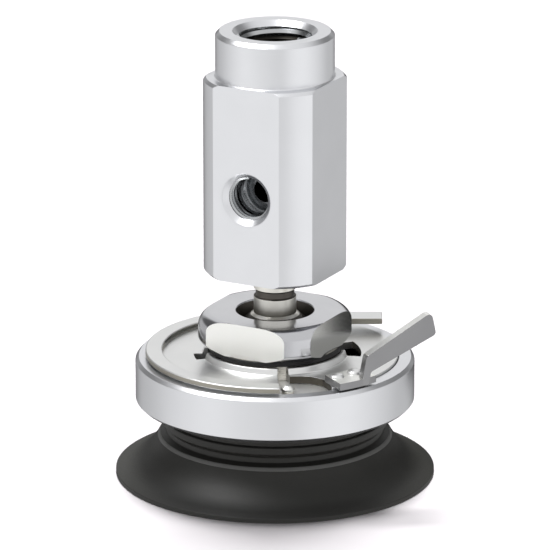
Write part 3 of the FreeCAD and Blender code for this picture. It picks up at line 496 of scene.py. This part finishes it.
def make_lock_ring():
    """The split ring that turns under the rim's lip, with its gap at the stop pin and two lug notches."""
    ring = turn_on_lathe("lock_plate", rounded([
        (13.2, 22.9, 0), (23.7, 22.9, 0), (23.7, 20.9, 0), (25.5, 20.9, 0), (25.5, 22.5, 0),
        (PLATE_RADIUS, 22.5, 0), (PLATE_RADIUS, LOCK_TOP, 0.2),
        (14.3, LOCK_TOP, 0.3), (13.9, 25.6, 0.2), (13.2, 25.6, 0.15),
    ]), segments=256)
    # The cutters reach from inside the bore to outside the plate, and from below it to above.
    inner = 12.8
    outer = 27.5
    low = 20
    high = 27
    # The gap has a straight side by the pin, and a hollow curve toward the lever that ends in a hook.
    start = -88.0
    finish = -66.0
    hollow = 16.0
    hook_begins = 18.4
    middle = polar((inner + outer) / 2, finish)
    aside = math.sqrt(hollow ** 2 - ((outer - inner) / 2) ** 2)
    centre = middle + aside * polar(1, finish - 90)
    rays = [polar(outer, finish) - centre, polar(inner, finish) - centre]
    bearings = [math.degrees(math.atan2(ray.y, ray.x)) for ray in rays]
    curve = [centre + point for point in sweep_of(hollow, *bearings, 24)]
    edge = [point for point in curve if point.length > hook_begins]
    edge += [polar(16.6, -65), polar(15.6, -71), polar(15.1, -79), polar(inner, -80)]
    gap = push_out("gap_cutter", [polar(inner, start), polar(outer, start), *edge], low, high)
    notches = []
    for first, last, reach in ((-8, 25, 17.0), (182, 196, 16.0)):
        outline = [polar(inner, first), *sweep_of(reach, first, last, 8), polar(inner, last)]
        notches.append(push_out("notch_cutter", outline, low, high))
    work(ring, [gap, *notches])
    round_edges(ring, 0.15)
    place(ring, SHEET, "lock", "stainless_sheet", "lock_ring")

    def on_edge(middle, normal):
        """The plate's sheared edges, without its hub and its outer rim; they get the duller edge colour with
        painted shade.
        """
        return is_upright(normal) and 14.5 < middle.xy.length < 23.9

    def in_gap(middle, normal):
        """The edges at the front, on both sides of the gap, which get the painted shade."""
        return on_edge(middle, normal) and middle.y < 0 and middle.x < 15

    finish_part(ring, SHEARED_AND_SHADED, on_edge)
    finish_part(ring, PAINTED_SHADE_GAP_EDGE, in_gap)


def make_slide_pad():
    """The sheet that the lock ring slides on, seen in the gap wherever the ring is turned; its pale colour is
    painted light.
    """
    slide = turn_on_lathe("slide_pad", rounded([
        (12.9, 21.6, 0), (23.5, 21.6, 0), (23.5, 22.8, 0.1), (12.9, 22.8, 0.1),
    ]), start=-114, sweep=64, segments=64)
    place(slide, LIGHTENED_THRUST_SHEET, "pad", "stainless_sheet")


def make_shade_ring():
    """A black ring put in the joint under the holder as painted shade: it draws the fine dark line of the
    shadow under the holder.
    """
    shade_ring = turn_on_lathe("shade_ring", rounded([
        (12.85, 25.7, 0), (13.2, 25.7, 0.1), (13.2, 26.55, 0.1), (12.85, 26.55, 0),
    ]))
    place(shade_ring, SEAL, "pad", "seal_rubber")


def make_lock_band():
    """The flat strip on the lock ring that runs from the gap round the back, over the joint with the rim."""
    band = turn_on_lathe("lock_strip", rounded([
        (22.2, LOCK_TOP, 0), (25.5, LOCK_TOP, 0.1), (25.5, 25.5, 0.3), (22.2, 25.5, 0.3),
    ]), start=70, sweep=202)
    relief = turn_on_lathe("relief_cutter", rounded([
        (21, 24.55, 0), (23.4, 24.55, 0), (23.4, 25.25, 0), (21, 25.25, 0),
    ]), start=126, sweep=43, segments=64)
    work(band, [relief])
    round_edges(band, 0.12)
    place(band, SHEET, "lock", "stainless_sheet", "lock_band")
    # The band's upright edges: duller cut steel with painted shade.
    finish_part(band, SHEARED_AND_SHADED, lambda middle, normal: is_upright(normal))


def make_stop_pin():
    """The dowel in the gap that ends the lock ring's turn, with a rounded top."""
    pin = turn_on_lathe("dowel", rounded([
        (0, 16, 0), (1.15, 16, 0.2), (1.15, 23.3, 0.1), (1.35, 23.4, 0.05), (1.35, 23.8, 0.3),
        (0.6, LOCK_TOP, 0.5), (0, LOCK_TOP, 0),
    ]), segments=48)
    pin.data.transform(Matrix.Translation((*polar(20.4, -83) * MM, 0)))
    place(pin, LIGHTENED_STEEL, "pad", "turned_steel", "stop_pin")
    under_head = 23.35
    # Painted highlight: the top of the pin's head is coloured almost white.
    finish_part(pin, PAINTED_HIGHLIGHT_STEEL, lambda middle, normal: middle.z > under_head)


def make_rubber_pad():
    """The moulded cup: a short neck with a bead, a cove and a shoulder, and a hollow flank to a thin lip."""
    pad = turn_on_lathe("suction_cup", rounded([
        (31.5, 0, 0.15), (31.5, 0.9, 0.3), (28.2, 2.3, 12), (24.6, 5.2, 12), (23.2, 7.7, 0), (22.8, 8.3, 0.5),
        (21.5, 8.9, 0.3), (21.4, 9.9, 0.4), (22.4, 10.8, 0.5), (22.4, 12.1, 0.3), (21.9, 12.4, 0.2),
        (21.9, 12.95, 0.1), (23.0, 13.15, 0.1), (23.0, PAD_TOP, 0.3), (21.6, PAD_TOP, 0), (21.6, 13.1, 0),
        (14.65, 13.1, 0), (14.65, 10.6, 0.2), (20.0, 10.6, 0.8), (20.0, 7.3, 1.0), (29.4, 0, 0.2),
    ], steps=8), segments=256)
    place(pad, RUBBER, "pad", "pad_rubber", "rubber_pad")

    def on_shoulder(middle, normal):
        """The narrow edge where the flank ends under the cove, which gets the painted highlight."""
        return middle.xy.length > 22.2 and 7.75 < middle.z < 8.7

    finish_part(pad, PAINTED_HIGHLIGHT_RUBBER, on_shoulder)


def make_lever():
    """The raised grip of the lock ring: a thick strip on edge, on a foot that follows the ring."""
    foot = sweep_of(26.8, -62, -43, 12) + sweep_of(20.6, -43, -62, 12)
    lever = push_out("lever", foot, LOCK_TOP, FOOT_TOP)
    strip = push_out("lever_strip", rounded([
        (-1.1, LOCK_TOP, 0), (0.4, LOCK_TOP, 0), (0.9, 27.0, 0.8), (14.4, 33.2, 0.9), (13.4, 37.8, 0.9),
        (0, 30.2, 1.2),
    ]), -1, 1)
    at_foot = Matrix.Translation((*polar(26, -48) * MM, 0))
    strip.data.transform(at_foot @ Matrix.Rotation(math.radians(20), 4, "Z") @ UPRIGHT)
    work(lever, [strip], "UNION")
    round_edges(lever, 0.25)
    # Painted shade: the lever's sides are coloured middle grey.
    place(lever, PAINTED_SHADE_STRIP, "lock", "stainless_sheet", "lock_lever")
    # Painted highlight: the lever's upward faces are coloured almost white.
    finish_part(lever, PAINTED_HIGHLIGHT_STEEL, lambda middle, normal: normal.z > 0.7)


def make_finger_tab():
    """The strip that is folded up and out over the ring's edge, for the finger that turns the lock."""
    tab = push_out("tab", rounded([
        (8, LOCK_TOP, 0), (14.3, LOCK_TOP, 0.9), (14.3, 25.7, 0.3), (21.4, 25.7, 0), (21.4, 26.9, 0),
        (13.2, 26.9, 0.9), (13.2, TAB_TOP, 0.3), (8, TAB_TOP, 0),
    ]), -18.8, -14.0)
    tab.data.transform(UPRIGHT)
    round_edges(tab, 0.2)
    place(tab, SHEET, "lock", "stainless_sheet", "finger_tab")
    # The tab's cut sides: duller cut steel with painted shade.
    finish_part(tab, SHEARED_AND_SHADED, lambda middle, normal: abs(normal.y) > 0.7)


def new_tree(name, **inputs):
    """A geometry tree with a named input for each size, and the sockets that carry those sizes."""
    tree = bpy.data.node_groups.new(name, "GeometryNodeTree")
    tree.interface.new_socket("Geometry", in_out="INPUT", socket_type="NodeSocketGeometry")
    for label, kind in inputs.items():
        tree.interface.new_socket(label, in_out="INPUT", socket_type="NodeSocket" + kind)
    tree.interface.new_socket("Geometry", in_out="OUTPUT", socket_type="NodeSocketGeometry")
    return tree, add_node(tree, "NodeGroupInput").outputs


def end_tree(tree, shape, finish):
    """Closes a geometry tree: real geometry with its material."""
    whole = add_node(tree, "GeometryNodeRealizeInstances", {0: shape}).outputs[0]
    dressed = add_node(tree, "GeometryNodeSetMaterial", {"Geometry": whole, "Material": finish}).outputs[0]
    add_node(tree, "NodeGroupOutput", {0: dressed})


def grow(name, tree, points, **values):
    """Runs a geometry tree on some points and keeps the result as a plain mesh."""
    piece = new_piece(name, points, [])
    nodes = piece.modifiers.new(tree.name, "NODES")
    nodes.node_group = tree
    for item in tree.interface.items_tree:
        if item.in_out == "INPUT" and item.name in values:
            nodes[item.identifier] = values[item.name]
    return keep_mesh(piece)


def thread_tree():
    """One ridge of a thread, four-sided, wound up a hole from its floor."""
    tree, sizes = new_tree("thread_turns", Radius="Float", Pitch="Float", Turns="Float", Depth="Float",
                           Material="Material")
    length = add_node(tree, "ShaderNodeMath", {0: sizes["Pitch"], 1: sizes["Turns"]}, operation="MULTIPLY")
    path = add_node(tree, "GeometryNodeCurveSpiral", {
        "Resolution": 64, "Rotations": sizes["Turns"], "Height": length.outputs[0],
        "Start Radius": sizes["Radius"], "End Radius": sizes["Radius"]})
    ridge = add_node(tree, "GeometryNodeCurvePrimitiveCircle", {"Resolution": 4, "Radius": sizes["Depth"]})
    turns = add_node(tree, "GeometryNodeCurveToMesh", {
        "Curve": path.outputs[0], "Profile Curve": ridge.outputs[0], "Fill Caps": True})
    end_tree(tree, turns.outputs[0], sizes["Material"])
    return tree


def rivet_tree():
    """A low dome on each point."""
    tree, sizes = new_tree("rivet_heads", Radius="Float", Height="Float", Material="Material")
    ball = add_node(tree, "GeometryNodeMeshUVSphere", {"Segments": 32, "Rings": 16, "Radius": 1.0})
    scale = add_node(tree, "ShaderNodeCombineXYZ", {
        0: sizes["Radius"], 1: sizes["Radius"], 2: sizes["Height"]})
    head = add_node(tree, "GeometryNodeTransform", {
        "Geometry": ball.outputs["Mesh"], "Scale": scale.outputs[0]})
    smooth = add_node(tree, "GeometryNodeSetShadeSmooth", {"Geometry": head.outputs[0]})
    heads = add_node(tree, "GeometryNodeInstanceOnPoints", {
        "Points": sizes["Geometry"], "Instance": smooth.outputs[0]})
    end_tree(tree, heads.outputs[0], sizes["Material"])
    return tree


def cleat_tree():
    """Bars that point to the axis, evenly round a circle."""
    tree, sizes = new_tree("cup_cleats", Count="Int", Inner="Float", Outer="Float", Width="Float",
                           Depth="Float", Level="Float", Material="Material")
    ends = {0: sizes["Outer"], 1: sizes["Inner"]}
    long = add_node(tree, "ShaderNodeMath", ends, operation="SUBTRACT").outputs[0]
    both = add_node(tree, "ShaderNodeMath", ends, operation="ADD").outputs[0]
    middle = add_node(tree, "ShaderNodeMath", {0: both, 1: 0.5}, operation="MULTIPLY").outputs[0]
    size = add_node(tree, "ShaderNodeCombineXYZ", {0: long, 1: sizes["Width"], 2: sizes["Depth"]})
    bar = add_node(tree, "GeometryNodeMeshCube", {
        "Size": size.outputs[0], "Vertices X": 4, "Vertices Y": 4, "Vertices Z": 4})
    soft = add_node(tree, "GeometryNodeSubdivisionSurface", {"Mesh": bar.outputs[0], "Level": 2})
    smooth = add_node(tree, "GeometryNodeSetShadeSmooth", {"Geometry": soft.outputs[0]})
    circle = add_node(tree, "GeometryNodeMeshCircle", {"Vertices": sizes["Count"], "Radius": middle})
    index = add_node(tree, "GeometryNodeInputIndex").outputs[0]
    share = add_node(tree, "ShaderNodeMath", {0: index, 1: sizes["Count"]}, operation="DIVIDE").outputs[0]
    angle = add_node(tree, "ShaderNodeMath", {0: share, 1: 2 * math.pi}, operation="MULTIPLY").outputs[0]
    facing = add_node(tree, "ShaderNodeCombineXYZ", {2: angle})
    bars = add_node(tree, "GeometryNodeInstanceOnPoints", {
        "Points": circle.outputs[0], "Instance": smooth.outputs[0], "Rotation": facing.outputs[0]})
    lift = add_node(tree, "ShaderNodeCombineXYZ", {2: sizes["Level"]})
    placed = add_node(tree, "GeometryNodeTransform", {
        "Geometry": bars.outputs[0], "Translation": lift.outputs[0]})
    end_tree(tree, placed.outputs[0], sizes["Material"])
    return tree


def make_repeats():
    """Threads in the two holes, rivet heads on the lock's sheet pieces, and the cleats in the cup."""
    thread = thread_tree()
    top = grow("mounting_thread", thread, [(0, 0, 0)], Radius=7.25 * MM, Pitch=1.337 * MM, Turns=10.5,
               Depth=0.55 * MM, Material=SHADED_TAPPED_WALL)
    top.data.transform(Matrix.Translation((0, 0, 74.8 * MM)))
    place(top, SHADED_TAPPED_WALL, "adapter", "clear_anodised_aluminium")
    # Painted shade: the thread's lower turns, deep in the hole, are coloured almost black.
    finish_part(top, PAINTED_SHADE_BORE, lambda middle, normal: middle.z < THREAD_SHADE)
    port = grow("port_thread", thread, [(0, 0, 0)], Radius=4.35 * MM, Pitch=0.907 * MM, Turns=6.5,
                Depth=0.42 * MM, Material=SHADED_TAPPED_WALL)
    port.data.transform(TO_PORT @ Matrix.Translation((0, 0, 4.7 * MM)))
    place(port, SHADED_TAPPED_WALL, "adapter", "clear_anodised_aluminium")
    spots = [(*polar(22.6, -58), FOOT_TOP), (*polar(22.6, -47), FOOT_TOP), (10.6, 16.4, TAB_TOP)]
    heads = grow("rivets", rivet_tree(), spots, Radius=1.5 * MM, Height=0.7 * MM, Material=SHEET)
    place(heads, SHEET, "lock", "stainless_sheet", "clip_rivets")
    cleats = grow("cup_cleats", cleat_tree(), [(0, 0, 0)], Count=8, Inner=15.85 * MM, Outer=19.8 * MM,
                  Width=1.4 * MM, Depth=1.6 * MM, Level=10.4 * MM, Material=RUBBER)
    place(cleats, RUBBER, "pad", "pad_rubber")


def dress_inner_pieces():
    """Materials for the pieces inside, whose shapes are right as they come."""
    finishes = {
        "base_plate": BASE_ALUMINIUM, "socket_housing": STEEL, "pad_core": STEEL, "core_screws": STEEL,
        "lock_spring": SPRING, "seat_spring": SPRING, "ball_liner": PLASTIC, "upper_ball_seat": PLASTIC,
        "lower_ball_seat": PLASTIC, "ball_seal": SEAL, "spigot_seal": SEAL, "stud_seal": SEAL,
    }
    for node, finish in finishes.items():
        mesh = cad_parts[node].data
        mesh.materials.clear()
        mesh.materials.append(finish)


def make_floor():
    """A round white table top, matt, with the faint mottle of painted board."""
    floor = turn_on_lathe("floor", [(0, 0), (500, 0), (500, -3), (0, -3)], segments=96)
    material, tree, shader, spot = new_material("white_painted_board", Roughness=0.9, Specular_IOR_Level=0.1)
    cloud_colour(tree, shader, spot, 12.0, 2.0, "#f2eef1", "#f5f1f4")
    floor.data.materials.append(material)
    floor.visible_glossy = False


def make_flag():
    """A small black card beside the object, deep matt black, that darkens the right side of the holder."""
    flag = push_out("black_flag", [(-17, 5), (32, 5), (32, 23), (-17, 23)], -0.5, 0.5)
    beside = Matrix.Translation((50 * MM, 40 * MM, 0))
    flag.data.transform(beside @ Matrix.Rotation(math.radians(124), 4, "Z") @ UPRIGHT)
    material, tree, shader, spot = new_material("black_card", Roughness=0.9, Specular_IOR_Level=0.0)
    cloud_colour(tree, shader, spot, 0.5, 2.0, "#050505", "#0a0a0a")
    flag.data.materials.append(material)
    flag.visible_camera = False
    flag.visible_diffuse = False
    flag.visible_shadow = False


def add_softbox(name, position, aim, width, height, power, on_matt, on_gloss):
    """A rectangular lamp, sized in millimetres and turned to a point, that lights matt faces or gloss."""
    lamp = bpy.data.lights.new(name, "AREA")
    lamp.shape = "RECTANGLE"
    lamp.size = width * MM
    lamp.size_y = height * MM
    lamp.energy = power
    holder = bpy.data.objects.new(name, lamp)
    holder.visible_diffuse = on_matt
    holder.visible_glossy = on_gloss
    holder.location = Vector(position) * MM
    holder.rotation_euler = (Vector(aim) - Vector(position)).to_track_quat("-Z", "Y").to_euler()
    bpy.context.scene.collection.objects.link(holder)


# Brightness of the tent's walls by bearing in degrees: 0 is behind the camera, positive to the right.
WALL_LEVELS = [
    (-180, 0.03), (-160, 0.08), (-146, 0.58), (-127, 0.60), (-97, 0.85), (-62, 1.06), (-30, 0.95), (0, 0.86),
    (14, 0.80), (30, 1.04), (58, 1.12), (97, 0.85), (124, 0.56), (140, 0.70), (150, 0.50), (163, 0.08),
    (180, 0.03),
]
# The belt above them: the metal's flat tops mirror the bright panel behind, its bevels the dim sides.
BELT_LEVELS = [
    (-180, 0.95), (-158, 0.90), (-146, 0.15), (-105, 0.12), (-75, 0.90), (0, 0.90),
    (75, 0.90), (105, 0.18), (125, 0.20), (146, 0.15), (158, 0.90), (180, 0.95),
]
# The tent's top, its light on matt faces, and the white that the camera sees.
TENT_TOP = 0.90
TENT_GLOW = 0.16
TENT_WHITE = 1.2
# Heights, as the sine of the angle above the table, between which wall turns to belt and belt to top.
BELT_RISE = (0.05, 0.22)
TOP_RISE = (0.55, 0.85)


def grey(level):
    """A grey of one brightness, with full alpha."""
    return (level, level, level, 1.0)


def make_world():
    """A studio tent, white to the camera; the metal sees it bright beside the viewer and dim behind."""
    world = bpy.data.worlds.new("studio")
    world.use_nodes = True
    tree = world.node_tree
    tree.nodes.clear()
    outward = add_node(tree, "ShaderNodeTexCoord").outputs["Generated"]
    axes = add_node(tree, "ShaderNodeSeparateXYZ", {0: outward}).outputs
    front = add_node(tree, "ShaderNodeMath", {0: axes[1], 1: -1.0}, operation="MULTIPLY").outputs[0]
    bearing = add_node(tree, "ShaderNodeMath", {0: axes[0], 1: front}, operation="ARCTAN2").outputs[0]
    circle = {"Value": bearing, "From Min": -math.pi, "From Max": math.pi}
    share = add_node(tree, "ShaderNodeMapRange", circle)
    belts = []
    for levels in (WALL_LEVELS, BELT_LEVELS):
        ramp = add_node(tree, "ShaderNodeValToRGB", {0: share.outputs[0]})
        stops = ramp.color_ramp.elements
        stops[0].color = grey(levels[0][1])
        stops[-1].color = grey(levels[-1][1])
        for degrees, level in levels[1:-1]:
            stops.new((degrees + 180) / 360).color = grey(level)
        belts.append(ramp.outputs[0])
    rises = []
    for low, high in (BELT_RISE, TOP_RISE):
        limits = {"Value": axes[2], "From Min": low, "From Max": high}
        rises.append(add_node(tree, "ShaderNodeMapRange", limits, interpolation_type="SMOOTHSTEP").outputs[0])
    rays = add_node(tree, "ShaderNodeLightPath").outputs
    shown = belts[0]
    for share_of_next, following in (
            (rises[0], belts[1]), (rises[1], grey(TENT_TOP)),
            (rays["Is Diffuse Ray"], grey(TENT_GLOW)), (rays["Is Camera Ray"], grey(TENT_WHITE))):
        blend = {0: share_of_next, MIX_A: shown, MIX_B: following}
        shown = add_node(tree, "ShaderNodeMix", blend, data_type="RGBA").outputs[MIX_OUT]
    sky = add_node(tree, "ShaderNodeBackground", {"Color": shown})
    add_node(tree, "ShaderNodeOutputWorld", {"Surface": sky.outputs[0]})
    bpy.context.scene.world = world


def make_camera():
    """A long lens, level with the photograph: 17.4 degrees above the table."""
    aim = Vector((0, 0, 40.4)) * MM
    rise = math.radians(17.4)
    away = 1.057
    camera = bpy.data.cameras.new("camera")
    camera.lens = 352.8
    camera.sensor_width = 36.0
    camera.clip_start = 0.01
    camera.clip_end = 20.0
    holder = bpy.data.objects.new("camera", camera)
    holder.location = aim + Vector((0, -math.cos(rise), math.sin(rise))) * away
    holder.rotation_euler = (aim - holder.location).to_track_quat("-Z", "Y").to_euler()
    bpy.context.scene.collection.objects.link(holder)
    bpy.context.scene.camera = holder


make_camera()
make_adapter()
make_stud()
make_holder()
make_pad_ring()
make_lock_ring()
make_slide_pad()
make_shade_ring()
make_lock_band()
make_stop_pin()
make_lever()
make_finger_tab()
make_rubber_pad()
make_repeats()
dress_inner_pieces()
make_floor()
make_flag()
make_world()
add_softbox("key_left", (-300, -60, 640), (0, 0, 20), width=300, height=300, power=2.4,
            on_matt=False, on_gloss=True)
add_softbox("back_top", (0, 510, 1510), (0, 0, 0), width=420, height=420, power=31.0,
            on_matt=True, on_gloss=False)
bpy.context.scene.view_settings.view_transform = "Standard"
